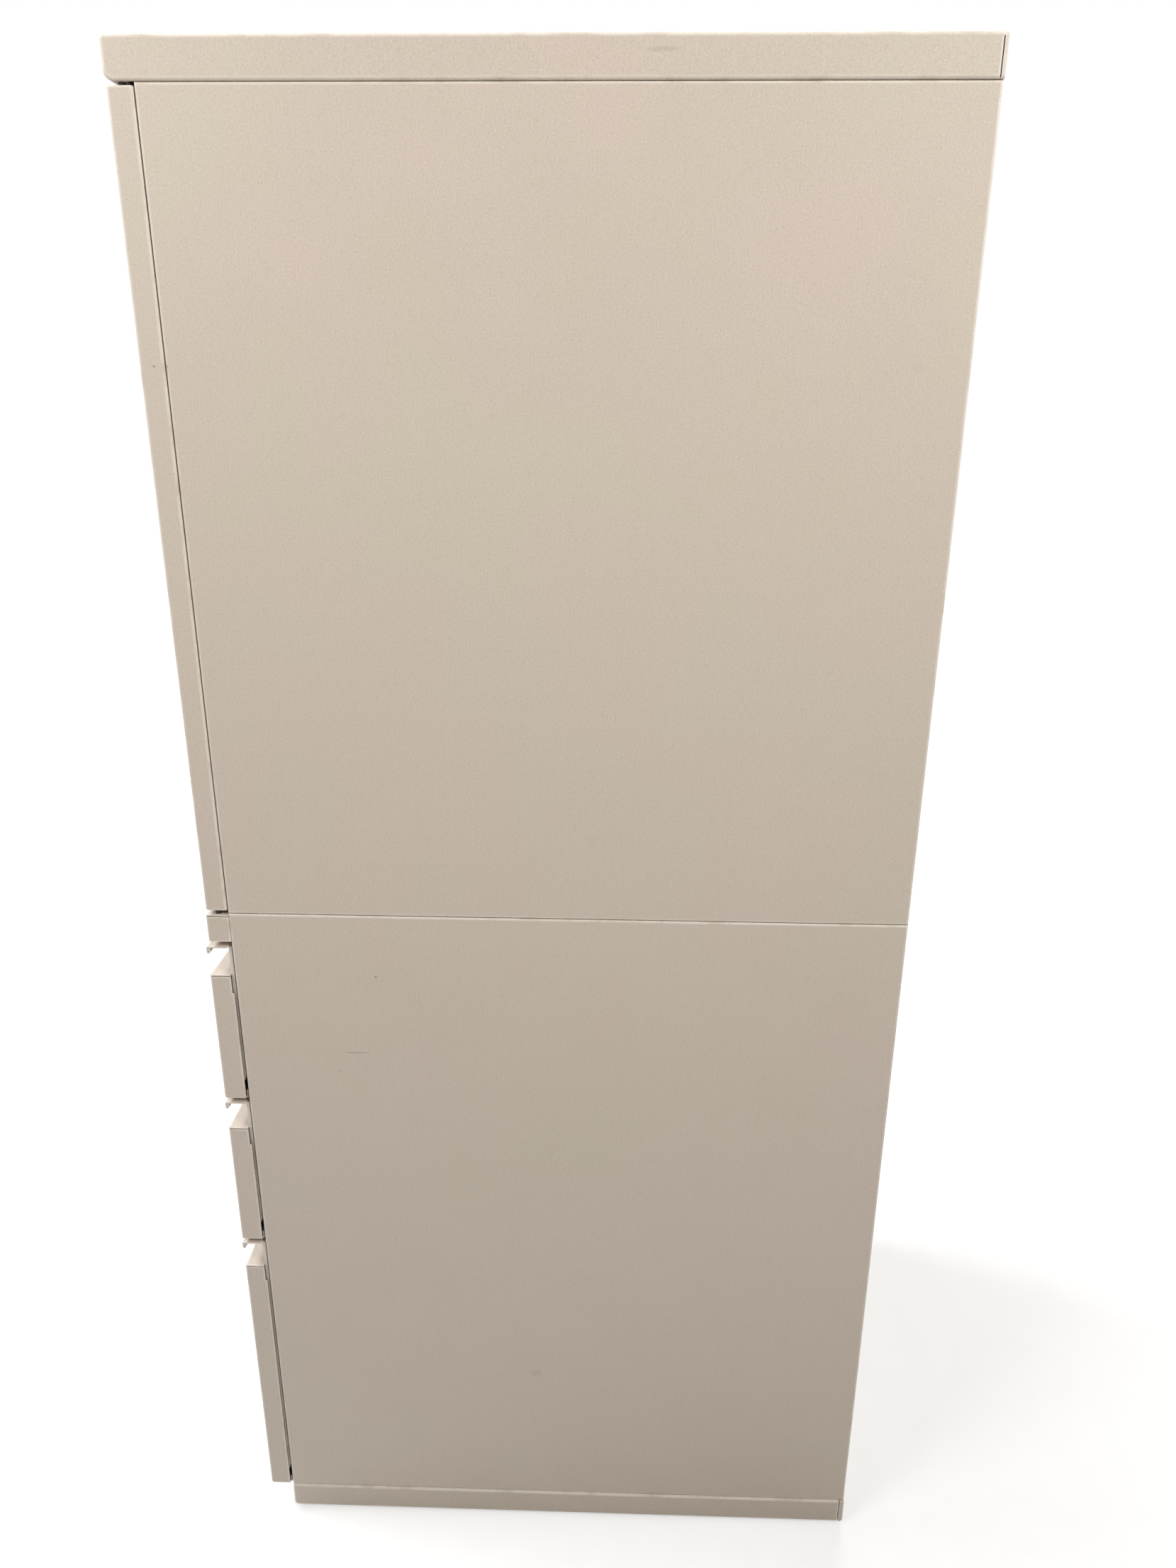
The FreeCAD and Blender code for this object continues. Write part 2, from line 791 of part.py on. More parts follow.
def central_lock():
    """Lock in the fixed rail, its crank, and the bar that it lifts behind all three drawers."""
    face = ahead(d.rail_proud)
    rear = ahead(0.8)
    crank_rear = behind(0.8)
    lock_barrel("pedestal_lock_barrel", d.lock_x, lock_level, face, rear - 0.2)
    lock_plug("pedestal_lock_plug", d.lock_x, lock_level, face, rear)
    crank = piece("pedestal_lock_crank")
    pin = Circle(d.lock_x + d.lock_throw, lock_level, d.crank_pin)
    pad(crank, "XZ", [Circle(d.lock_x, lock_level, d.crank_radius)], rear, crank_rear)
    near, far = behind(d.bar_front), behind(d.bar_front + d.bar_thick)
    pad(crank, "XZ", [pin], crank_rear, far + 0.5)

    bar = piece("lock_bar")
    high = lock_level + 5.4
    arm_left, arm_low = d.lock_x - d.bar_arm, lock_level - 9
    outline = [
        (d.bar_left, floor_top),
        (d.bar_right, floor_top),
        (d.bar_right, high),
        (arm_left, high),
        (arm_left, arm_low),
        (d.bar_left, arm_low),
    ]
    window_left, window_right = d.lock_x - d.bar_window, d.lock_x + d.lock_throw + d.bar_window
    window = rect(window_left, window_right, lock_level - 3, lock_level + 3)
    pad(bar, "XZ", [outline, window], near, far)
    notches = []
    for number, kind in DRAWERS:
        tab = slide_height_above(drawer_levels(number)[1], kind) + d.catch_above_slide
        notch_right = d.bar_left + d.hook_side + d.hook_sheet + 2
        notches.append(rect(d.bar_left - 1, notch_right, tab - 1, tab + d.hook_height + 1))
    pocket(bar, "XZ", notches, near, far)


def cupboard():
    """Fixed sheets of the cupboard and what is fastened inside it."""
    bottom, top = up(d.pedestal_top_level + d.unit_gap), up(d.side_height)
    side_panel("cupboard_side_left", -1, bottom, top)
    side_panel("cupboard_side_right", 1, bottom, top)
    rear = back_panel("cupboard_back", cupboard_floor_level, roof_level)
    reach = d.anchor_spacing / 2
    anchors = [Circle(reach * hand, up(d.anchor_level), d.anchor_radius) for hand in (1, -1)]
    pocket(rear, "XZ", anchors, panel_rear - d.thin_sheet - 1, panel_rear + 1)

    edge = inner - d.slack
    near = behind(d.header_front)
    far = panel_rear - d.thin_sheet - d.contact_gap
    floor = piece("cupboard_floor")
    holes = [Circle(x, y, d.bolt_hole) for x, y in bolt_places]
    low = cupboard_floor_level
    pad(floor, "XY", [rect(-edge, edge, near, far)] + holes, low, low + d.sheet)

    roof = piece("cupboard_roof")
    low = roof_level - d.roof_depth
    pad(roof, "XY", [rect(-edge, edge, near, far)], low, roof_level)
    hollow = rect(-edge + d.sheet, edge - d.sheet, near + d.sheet, far - d.sheet)
    pocket(roof, "XY", [hollow], low - 1, roof_level - d.sheet)

    catch = piece("door_catch")
    width = handed(-1, d.catch_near, d.catch_far)
    clip_near = near + d.sheet
    pad(catch, "XY", [rect(*width, behind(1.5), behind(24))], low - 14, low)
    pad(catch, "XY", [rect(*width, clip_near, clip_near + 1.5)], low, low + 14)


def unit_bolts():
    """Four hexagon bolts, with their nuts, that clamp the cupboard to the pedestal."""
    body = piece("unit_bolts")
    seat = cupboard_floor_level + d.sheet
    turns = [math.radians(60 * corner) for corner in range(6)]
    hexagon = [(round(math.cos(turn), 6), round(math.sin(turn), 6)) for turn in turns]
    heads = [[(x + d.bolt_head * u, y + d.bolt_head * v) for u, v in hexagon] for x, y in bolt_places]
    shanks = [Circle(x, y, d.bolt_radius) for x, y in bolt_places]
    pad(body, "XY", heads, seat, seat + d.bolt_head_height)
    pad(body, "XY", shanks, top_plate - d.nut_height - 2.5, seat)
    pad(body, "XY", heads, top_plate - d.nut_height, top_plate)


def shelf_standards():
    """Four slotted channels up the cupboard sides, which take the shelf clips."""
    body = piece("shelf_standards")
    low, high = up(d.standard_bottom), up(d.standard_top)
    depths = (behind(d.standard_front), behind(d.standard_rear))
    outlines, hollows = [], []
    for near in depths:
        far = near + d.standard_width
        outlines += both(rect(d.standard_face, inner - d.contact_gap, near, far))
        hollows += both(rect(d.standard_face + d.sheet, inner, near + d.sheet, far - d.sheet))
    pad(body, "XY", outlines, low, high)
    pocket(body, "XY", hollows, low - 1, high + 1)
    centres = [near + d.standard_width / 2 for near in depths]
    first = up(d.first_slot)
    wide = d.slot_half
    slots = [rect(y - wide, y + wide, first, first + d.slot_height) for y in centres]
    slot = pocket(body, "YZ", slots, -half, half)
    pattern = body.newObject("PartDesign::LinearPattern", "SlotRow")
    pattern.Originals = [slot]
    pattern.Direction = (slot.Profile[0], ["V_Axis"])
    pattern.Mode = "Spacing"
    pattern.setExpression("Offset", d.slot_pitch.formula)
    pattern.Occurrences = SLOT_COUNT
    body.Tip = pattern


shelf_level = up(d.first_slot + d.slot_pitch * SHELF_SLOT + d.clip_rise)


def shelf_clips():
    """Four hooked clips: a ledge for the shelf and a tongue through a slot of the standard."""
    body = piece("shelf_clips")
    face = d.standard_face
    plate = as_size(1.4)
    ledge = [
        (face - d.clip_reach, shelf_level - plate),
        (face - plate, shelf_level - plate),
        (face - plate, shelf_level - 15),
        (face, shelf_level - 15),
        (face, shelf_level),
        (face - d.clip_reach, shelf_level),
    ]
    tongue = [
        (face, shelf_level - 9),
        (face + 1.5, shelf_level - 9),
        (face + 1.5, shelf_level - 16),
        (face + 2.7, shelf_level - 16),
        (face + 2.7, shelf_level - 5),
        (face, shelf_level - 5),
    ]
    for depth in (d.standard_front, d.standard_rear):
        middle = behind(depth) + d.standard_width / 2
        pad(body, "XZ", both(ledge), middle - d.clip_half, middle + d.clip_half)
        pad(body, "XZ", both(tongue), middle - d.tongue_half, middle + d.tongue_half)


def shelf():
    """Adjustable shelf: a sheet with all four edges turned down."""
    body = piece("shelf")
    edge = side - d.panel_flange - 0.9
    near, far = behind(d.shelf_front), behind(d.shelf_rear)
    pad(body, "XY", [rect(-edge, edge, near, far)], shelf_level, shelf_level + d.shelf_depth)
    round_edges(body, d.sheet, on(y=near, z=shelf_level + d.shelf_depth))
    hollow = rect(-edge + d.sheet, edge - d.sheet, near + d.sheet, far - d.sheet)
    pocket(body, "XY", [hollow], shelf_level - 1, shelf_level + d.shelf_depth - d.sheet)


# Ends of the door, and the width of the pull at its free edge
door_low, door_high = up(d.door_bottom), up(d.door_top)
pull_zone = -side + d.ledge_drop


def hinges():
    """Pivot hinges: a plate inside the cap and one inside the rail, each with a pressed-in pin."""
    body = piece("hinge_brackets")
    low_x, high_x = side - d.bracket_width, inner - 0.2
    hole = Circle(pivot_x, pivot_y, d.pin_radius)
    near = ahead(d.bracket_front)
    over = rect(low_x, high_x, near, behind(d.bracket_rear))
    under = rect(low_x, high_x, near, ahead(0.2))
    over_low, under_low = up(d.upper_bracket_level), up(d.lower_bracket_level)
    over_high, under_high = over_low + d.bracket_sheet, under_low + d.bracket_sheet
    foot = rect(low_x, high_x - 1.2, behind(2), behind(d.bracket_rear))
    pad(body, "XY", [over, hole], over_low, over_high)
    pad(body, "XY", [foot], up(d.side_height) + d.contact_gap, over_low)
    pad(body, "XY", [under, hole], under_low, under_high)
    pins = piece("hinge_pins")
    pin = [Circle(pivot_x, pivot_y, d.pin_radius)]
    pad(pins, "XY", pin, door_high - d.pin_length, over_high)
    pad(pins, "XY", pin, under_low, door_low + d.pin_length)


def door():
    """Door: outer pan, inner sheet, vertical pull at the free edge, bushes, strike and lock."""
    face, rear = ahead(d.door_proud), ahead(d.door_rear)
    sheet_face = rear - d.sheet
    wall_face = sheet_face - d.pull_sheet
    lock_hole = Circle(-d.door_lock_x, door_lock_level, d.barrel_hole)

    skin = piece("door_skin")
    pad(skin, "XY", [rect(pull_zone, side, face, rear)], door_low, door_high)
    round_edges(skin, d.door_rear_round, on(x=side, y=rear))
    round_edges(skin, d.bend, on(y=face))
    round_edges(skin, d.door_fold, on(x=side, z=door_low), on(x=side, z=door_high))
    cavity = rect(pull_zone + d.sheet, inner, door_low + d.sheet, door_high - d.sheet)
    pocket(skin, "XZ", [cavity], face + d.sheet, rear)
    behind_pull = rect(pull_zone - 1, -side + d.pull_drop + 0.2, door_low - 1, door_high + 1)
    pocket(skin, "XZ", [behind_pull], wall_face - d.contact_gap, rear)
    pin_hole = [Circle(pivot_x, pivot_y, d.pin_radius + 0.4)]
    pocket(skin, "XY", pin_hole, door_low - 1, door_high + 1)
    pocket(skin, "XZ", [lock_hole], face - 1, face + 3)

    panel = piece("door_inner_panel")
    gap = d.sheet + d.contact_gap
    outline = rect(-side + 0.4, side - d.door_rear_round, door_low + gap, door_high - gap)
    pad(panel, "XZ", [outline, lock_hole], sheet_face, rear)

    pull = piece("door_pull")
    tip = ahead(d.door_proud + 1)
    hem_rear = tip + d.hem_height
    profile = [
        (-side, tip),
        (-side + d.hem_depth, tip),
        (-side + d.hem_depth, hem_rear),
        (-side + d.pull_sheet, hem_rear),
        (-side + d.pull_sheet, wall_face),
        (-side + d.pull_drop, wall_face),
        (-side + d.pull_drop, sheet_face),
        (-side, sheet_face),
    ]
    pad(pull, "XY", [profile], door_low, door_high)
    round_edges(pull, d.bend, on(y=tip), on(x=-side, y=sheet_face))

    bushes = piece("door_bushes")
    ring = [
        Circle(pivot_x, pivot_y, d.pin_radius + d.bush_wall),
        Circle(pivot_x, pivot_y, d.pin_radius + d.pin_clearance),
    ]
    for low in (door_low + d.sheet, door_high - d.sheet - d.bush_length):
        pad(bushes, "XY", ring, low, low + d.bush_length)

    strike = piece("door_strike")
    low = roof_level - d.roof_depth - 13
    low_x, high_x = handed(-1, d.catch_near + 2, d.catch_far - 2)
    pad(strike, "XY", [rect(low_x, high_x, rear, behind(1.2))], low, low + 12)

    barrel_rear = behind(1)
    cam_near, cam_far = barrel_rear + 0.8, barrel_rear + 2.8
    x = -d.door_lock_x
    lock_barrel("door_lock_barrel", x, door_lock_level, face, barrel_rear)
    lock_plug("door_lock_plug", x, door_lock_level, face, cam_near)
    cam = piece("door_lock_cam")
    left, right = x - d.cam_half, x + d.cam_half
    low_z, high_z = door_lock_level - d.cam_length, door_lock_level + 8
    pad(cam, "XZ", [rect(left, right, low_z, high_z)], cam_near, cam_far)
    corners = [on(x=edge, z=level) for edge in (left, right) for level in (low_z, high_z)]
    round_edges(cam, d.cam_round, *corners)


def cap():
    """Cap: a sheet folded into a shallow lid, its front edge rolled under, over two stiffeners."""
    body = piece("top_cap")
    low, high = up(d.cap_bottom), up(d.cap_top)
    face = ahead(d.cap_proud)
    pad(body, "XY", [rect(-half, half, face, back)], low, high)
    round_edges(body, d.cap_round, on(y=face, z=low))
    round_edges(body, d.cap_edge, on(z=high))
    round_edges(body, d.cap_side_bend, on(x=half, z=low), on(x=-half, z=low))
    wall = d.sheet
    corner = d.cap_round + d.bend_allowance
    middle = d.cap_round * 0.293 + wall
    bevel = d.cap_edge
    cavity = [
        (face + wall, high - bevel),
        (face + wall, low + corner),
        (face + middle, low + middle),
        (face + corner, low + wall),
        (back - wall, low + wall),
        (back - wall, high - bevel),
        (back - bevel, high - wall),
        (face + bevel, high - wall),
    ]
    pocket(body, "YZ", [cavity], -(half - wall), half - wall)
    reach = half - d.cap_side_hem
    mouth = rect(-reach, reach, face + d.cap_front_hem, back - wall)
    pocket(body, "XY", [mouth], low - 1, low + wall + 0.1)
    pocket(body, "XY", [hinge_hole()], low - 1, low + 5)
    seam_y = back - d.cap_seam_inset
    seam = rect(seam_y - d.seam, seam_y, low - 1, high - d.cap_edge)
    for hand in (1, -1):
        pocket(body, "YZ", [seam], *handed(hand, half - wall - d.contact_gap, half + 1))

    stiffeners = piece("cap_stiffeners")
    rest, edge = up(d.side_height), inner - 1
    spans = [
        (behind(depth), behind(depth) + d.stiffener_depth)
        for depth in (d.stiffener_near, d.stiffener_far)
    ]
    for near, far in spans:
        pad(stiffeners, "XY", [rect(-edge, edge, near, far)], rest, high - wall)
    hollows = [rect(near + wall, far - wall, rest - 1, high - wall * 2) for near, far in spans]
    pocket(stiffeners, "YZ", hollows, -edge - 1, edge + 1)


base_frame()
base_rear_rail()
levelling_glides()
glide_gussets()
pedestal_bottom = up(d.base_height)
side_panel("pedestal_side_left", -1, pedestal_bottom, up(d.pedestal_top_level))
side_panel("pedestal_side_right", 1, pedestal_bottom, up(d.pedestal_top_level))
back_panel("pedestal_back", floor_top - d.sheet, top_plate + d.sheet)
pedestal_floor()
pedestal_top()
front_rail()
uprights("front_uprights", d.front_upright)
uprights("rear_uprights", d.rear_upright)
counterweight()
for number, kind in DRAWERS:
    drawer(number, kind)
central_lock()
cupboard()
unit_bolts()
shelf_standards()
shelf_clips()
shelf()
hinges()
door()
cap()
doc.recompute()

for item in doc.Objects:
    if {"Invalid", "Error"} & set(item.State):
        raise RuntimeError(f"{item.Label} failed: {item.State}")
for body in pieces:
    if body.Shape.isNull() or not body.Shape.isValid() or not body.Shape.Solids:
        raise RuntimeError(f"{body.Label} has no valid solid")

os.makedirs("parts", exist_ok=True)
for body in pieces:
    body.Shape.exportStep(f"parts/{body.Label}.step")
    print(f"{body.Label}: {len(body.Shape.Solids)} solids, {body.Shape.Volume / 1000:.1f} cm3")
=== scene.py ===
import json
import math

import bpy
from mathutils import Matrix, Vector


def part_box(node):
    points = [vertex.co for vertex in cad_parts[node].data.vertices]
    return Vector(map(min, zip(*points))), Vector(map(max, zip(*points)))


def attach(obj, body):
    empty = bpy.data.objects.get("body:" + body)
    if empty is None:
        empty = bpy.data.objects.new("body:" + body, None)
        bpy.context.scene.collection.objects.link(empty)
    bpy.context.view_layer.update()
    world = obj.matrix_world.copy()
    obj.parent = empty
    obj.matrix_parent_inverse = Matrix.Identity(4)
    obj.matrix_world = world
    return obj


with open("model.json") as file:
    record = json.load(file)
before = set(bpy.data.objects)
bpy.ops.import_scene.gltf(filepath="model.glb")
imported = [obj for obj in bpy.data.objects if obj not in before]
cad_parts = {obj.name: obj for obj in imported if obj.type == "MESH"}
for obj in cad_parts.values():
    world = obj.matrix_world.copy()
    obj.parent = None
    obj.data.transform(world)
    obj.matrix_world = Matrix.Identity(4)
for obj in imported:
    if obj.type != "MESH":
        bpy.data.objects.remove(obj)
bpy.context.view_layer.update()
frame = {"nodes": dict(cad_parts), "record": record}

# The camera stands close to the tower's right side and a little above its middle, and looks down
# at it. Its place was solved from the corners and seams of the side in the photograph.
PHOTO_HEIGHT = 2212
FOCAL_PIXELS = 1534
SENSOR_MM = 24.0
CAMERA_PLACE = (1.0744, 0.0534, 1.1273)
camera_data = bpy.data.cameras.new("camera")
camera_data.sensor_fit = "VERTICAL"
camera_data.sensor_height = SENSOR_MM
camera_data.lens = FOCAL_PIXELS / PHOTO_HEIGHT * SENSOR_MM
camera_data.clip_start = 0.05
camera_data.clip_end = 60
camera = bpy.data.objects.new("camera", camera_data)
bpy.context.scene.collection.objects.link(camera)
camera_turn = Matrix(
    (
        (-0.028799, -0.327646, 0.944361),
        (0.999572, -0.014351, 0.025504),
        (0.005196, 0.944692, 0.327919),
    )
)
camera.matrix_world = Matrix.Translation(CAMERA_PLACE) @ camera_turn.to_4x4()
bpy.context.scene.camera = camera
bpy.context.scene.view_settings.view_transform = "Standard"


# Painted sheet steel: a fine-textured powder coat in warm putty, baked on after folding. It gives
# the eye a soft sheen with the pimples of orange peel, and tones that drift over a panel. The
# grain, under 1 mm in life, is drawn at 1.4 mm so that it shows.
def linear(hex_colour):
    """Linear colour, with alpha, of an sRGB hex value."""
    parts = [int(hex_colour[i : i + 2], 16) / 255 for i in (1, 3, 5)]
    return [p / 12.92 if p <= 0.04045 else ((p + 0.055) / 1.055) ** 2.4 for p in parts] + [1.0]


def add_node(tree, kind, settings, inputs):
    """A node with its settings. An input that is given a socket is linked to it."""
    made = tree.nodes.new(kind)
    for name, value in settings.items():
        setattr(made, name, value)
    for name, value in inputs.items():
        if isinstance(value, bpy.types.NodeSocket):
            tree.links.new(value, made.inputs[name])
        else:
            made.inputs[name].default_value = value
    return made


def new_material(name):
    """A node material, its Principled shader and the piece's own coordinates."""
    material = bpy.data.materials.new(name)
    material.use_nodes = True
    tree = material.node_tree
    place = add_node(tree, "ShaderNodeTexCoord", {}, {}).outputs["Object"]
    return material, tree, tree.nodes["Principled BSDF"], place


def lay_tone(tree, colour, pattern, low, high, tone, strength):
    """A colour with a tone laid over it, from none where the pattern is low up to its strength."""
    share = add_node(
        tree,
        "ShaderNodeMapRange",
        {"interpolation_type": "SMOOTHSTEP"},
        {"Value": pattern, "From Min": low, "From Max": high, "To Max": strength},
    )
    laid = add_node(
        tree,
        "ShaderNodeMix",
        {"data_type": "RGBA"},
        {"Factor": share.outputs["Result"], "A": colour, "B": linear(tone)},
    )
    return laid.outputs["Result"]


def dress(slot, material):
    """Puts a material on the CAD pieces of a slot."""
    for entry in frame["record"]["subparts"]:
        if entry["material_slot"] == slot:
            frame["nodes"][entry["node"]].material_slots[0].material = material


paint, tree, shader, place = new_material("putty_powder_coat")
# Each pattern of the coat, with the width of its features in mm and its detail.
coat_patterns = [
    ("olive drift", 190, 2.0),
    ("pink drift", 120, 2.0),
    ("sheen drift", 60, 2.0),
    ("rubbing", 22, 3.0),
    ("mottle", 6.0, 4.0),
    ("orange peel", 1.8, 2.0),
    ("grain", 1.4, 3.0),
]
coat = {}
for name, width_mm, detail in coat_patterns:
    pattern = add_node(
        tree,
        "ShaderNodeTexNoise",
        {},
        {"Vector": place, "Scale": 1000 / width_mm, "Detail": detail},
    )
    coat[name] = pattern.outputs["Fac"]
# Each tone of the coat: its pattern, where in the pattern it begins and is full, and its strength.
coat_tones = [
    ("olive drift", 0.42, 0.62, "#C8C0AC", 0.30),
    ("pink drift", 0.48, 0.66, "#D0BDB2", 0.30),
    ("grain", 0.52, 0.74, "#E2D6C8", 0.35),
    ("grain", 0.48, 0.28, "#AC9D8B", 0.35),
    ("mottle", 0.55, 0.80, "#BBAD9B", 0.20),
]
colour = linear("#CCBEAF")
for name, low, high, tone, strength in coat_tones:
    colour = lay_tone(tree, colour, coat[name], low, high, tone, strength)
shader.inputs["IOR"].default_value = 1.5
peel = add_node(
    tree,
    "ShaderNodeBump",
    {},
    {"Strength": 0.30, "Distance": 0.0003, "Height": coat["orange peel"]},
)
texture = add_node(
    tree,
    "ShaderNodeBump",
    {},
    {
        "Strength": 0.30,
        "Distance": 0.0002,
        "Height": coat["grain"],
        "Normal": peel.outputs["Normal"],
    },
)
tree.links.new(texture.outputs["Normal"], shader.inputs["Normal"])
dress("paint", paint)

# Marks of use and painted light on the paint: painted shade darkens the folds and seams, the coat
# is polished along the bends and paler there, partly worn and mostly a painted highlight, and the
# right side has a thin scratch, a few dark dots and a faint stain.
FOLD_REACH = 0.012
BEND_REACH = 0.0024
BEND_POLISH = -0.10
# Painted shade: the coat is darkened towards #85786A where the AO node finds other surfaces within
# FOLD_REACH, in folds, seams and recesses.
fold_shade = add_node(tree, "ShaderNodeAmbientOcclusion", {"samples": 4}, {"Distance": FOLD_REACH})
colour = lay_tone(tree, colour, fold_shade.outputs["AO"], 0.36, 0.08, "#85786A", 0.30)
rounded = add_node(tree, "ShaderNodeBevel", {"samples": 4}, {"Radius": BEND_REACH})
surface = add_node(tree, "ShaderNodeNewGeometry", {}, {})
facing = add_node(
    tree,
    "ShaderNodeVectorMath",
    {"operation": "DOT_PRODUCT"},
    {0: rounded.outputs["Normal"], 1: surface.outputs["Normal"]},
)
bends = add_node(
    tree,
    "ShaderNodeMapRange",
    {"interpolation_type": "SMOOTHSTEP"},
    {"Value": facing.outputs["Value"], "From Min": 0.9995, "From Max": 0.95},
)
rubbed = add_node(
    tree,
    "ShaderNodeMapRange",
    {"interpolation_type": "SMOOTHSTEP"},
    {"Value": coat["rubbing"], "From Min": 0.20, "From Max": 0.55, "To Max": 0.85},
)
# Painted highlight, partly wear: the coat is made paler towards #F4ECE0 along the bends, in patches
# set by the rubbing pattern.
wear_and_highlight = add_node(
    tree,
    "ShaderNodeMath",
    {"operation": "MULTIPLY"},
    {0: bends.outputs["Result"], 1: rubbed.outputs["Result"]},
)
pale_wear_and_highlight = add_node(
    tree,
    "ShaderNodeMix",
    {"data_type": "RGBA"},
    {"Factor": wear_and_highlight.outputs["Value"], "A": colour, "B": linear("#F4ECE0")},
)
colour = pale_wear_and_highlight.outputs["Result"]
# Each mark: its middle and half its size in m, its tone and its strength.
marks = [
    ((0.2269, -0.1780, 0.5713), (0.004, 0.0158, 0.0007), "#8C7C69", 0.60),
    ((0.2269, -0.1946, 0.5519), (0.004, 0.0030, 0.0012), "#9B8C79", 0.40),
    ((0.2269, -0.1565, 0.6495), (0.004, 0.0014, 0.0014), "#6F6252", 0.70),
    ((0.2269, -0.0185, 0.1974), (0.004, 0.0075, 0.0060), "#A6937A", 0.25),
    ((0.2269, -0.2909, 1.1535), (0.004, 0.0012, 0.0012), "#6B5F50", 0.70),
    ((0.2269, -0.2814, 1.1535), (0.004, 0.0010, 0.0010), "#6B5F50", 0.60),
    ((0.2285, 0.0778, 1.3526), (0.004, 0.0150, 0.0022), "#A99B88", 0.35),
]
MARK_RIM, MARK_CORE = 1.0, 0.35
for centre, reach, tone, strength in marks:
    shifted = add_node(
        tree,
        "ShaderNodeMapping",
        {"vector_type": "TEXTURE"},
        {"Vector": place, "Location": centre, "Scale": reach},
    )
    away = add_node(
        tree, "ShaderNodeVectorMath", {"operation": "LENGTH"}, {0: shifted.outputs["Vector"]}
    )
    distance = away.outputs["Value"]
    colour = lay_tone(tree, colour, distance, MARK_RIM, MARK_CORE, tone, strength)
tree.links.new(colour, shader.inputs["Base Color"])
sheen = add_node(
    tree,
    "ShaderNodeMapRange",
    {"interpolation_type": "SMOOTHSTEP"},
    {
        "Value": coat["sheen drift"],
        "From Min": 0.3,
        "From Max": 0.7,
        "To Min": 0.40,
        "To Max": 0.50,
    },
)
polished = add_node(
    tree,
    "ShaderNodeMath",
    {"operation": "MULTIPLY_ADD"},
    {0: bends.outputs["Result"], 1: BEND_POLISH, 2: sheen.outputs["Result"]},
)
tree.links.new(polished.outputs["Value"], shader.inputs["Roughness"])

# Slides, brackets, clips, bolts, glides and the lock bar: mild steel with bright zinc plating. The
# eye sees a cool grey with cloudy crystals and lengthwise rolling lines, which are finer in life
# and are drawn 1.2 mm wide so that they show.
CRYSTAL_MM = 9.0
ROLLING_MM, ROLLING_STRETCH = 1.2, 40
zinc, tree, shader, place = new_material("bright_zinc_plated_steel")
drawn_out = add_node(
    tree, "ShaderNodeMapping", {}, {"Vector": place, "Scale": (1, 1 / ROLLING_STRETCH, 1)}
)
rolling = add_node(
    tree,
    "ShaderNodeTexNoise",
    {},
    {"Vector": drawn_out.outputs["Vector"], "Scale": 1000 / ROLLING_MM, "Detail": 2.0},
)
cloud = add_node(
    tree, "ShaderNodeTexNoise", {}, {"Vector": place, "Scale": 1000 / CRYSTAL_MM, "Detail": 3.0}
)
colour = lay_tone(tree, linear("#B9BCBB"), cloud.outputs["Fac"], 0.4, 0.65, "#9EA19F", 0.6)
colour = lay_tone(tree, colour, rolling.outputs["Fac"], 0.45, 0.7, "#C9CAC4", 0.4)
tree.links.new(colour, shader.inputs["Base Color"])
shader.inputs["Metallic"].default_value = 1.0
roughness = add_node(
    tree,
    "ShaderNodeMapRange",
    {"interpolation_type": "SMOOTHSTEP"},
    {
        "Value": cloud.outputs["Fac"],
        "From Min": 0.35,
        "From Max": 0.7,
        "To Min": 0.30,
        "To Max": 0.48,
    },
)
tree.links.new(roughness.outputs["Result"], shader.inputs["Roughness"])
lines = add_node(
    tree,
    "ShaderNodeBump",
    {},
    {"Strength": 0.12, "Distance": 0.0002, "Height": rolling.outputs["Fac"]},
)
tree.links.new(lines.outputs["Normal"], shader.inputs["Normal"])
dress("zinc_steel", zinc)

# Barrels and plugs of the two cam locks: turned brass with bright nickel plating. The turning left
# faint traces, drawn 0.6 mm wide so that they show, and keys have dulled the face a little.
DULLING_MM = 2.5
TURNING_MM = 0.6
nickel, tree, shader, place = new_material("nickel_plated_brass")
dull = add_node(
    tree, "ShaderNodeTexNoise", {}, {"Vector": place, "Scale": 1000 / DULLING_MM, "Detail": 3.0}
)
turning = add_node(
    tree, "ShaderNodeTexNoise", {}, {"Vector": place, "Scale": 1000 / TURNING_MM, "Detail": 2.0}
)
colour = lay_tone(tree, linear("#CFCBC2"), dull.outputs["Fac"], 0.45, 0.7, "#A8A39A", 0.5)
tree.links.new(colour, shader.inputs["Base Color"])
shader.inputs["Metallic"].default_value = 1.0
roughness = add_node(
    tree,
    "ShaderNodeMapRange",
    {"interpolation_type": "SMOOTHSTEP"},
    {
        "Value": dull.outputs["Fac"],
        "From Min": 0.3,
        "From Max": 0.7,
        "To Min": 0.14,
        "To Max": 0.32,
    },
)
tree.links.new(roughness.outputs["Result"], shader.inputs["Roughness"])
traces = add_node(
    tree,
    "ShaderNodeBump",
    {},
    {"Strength": 0.08, "Distance": 0.0001, "Height": turning.outputs["Fac"]},
)
tree.links.new(traces.outputs["Normal"], shader.inputs["Normal"])
dress("nickel", nickel)

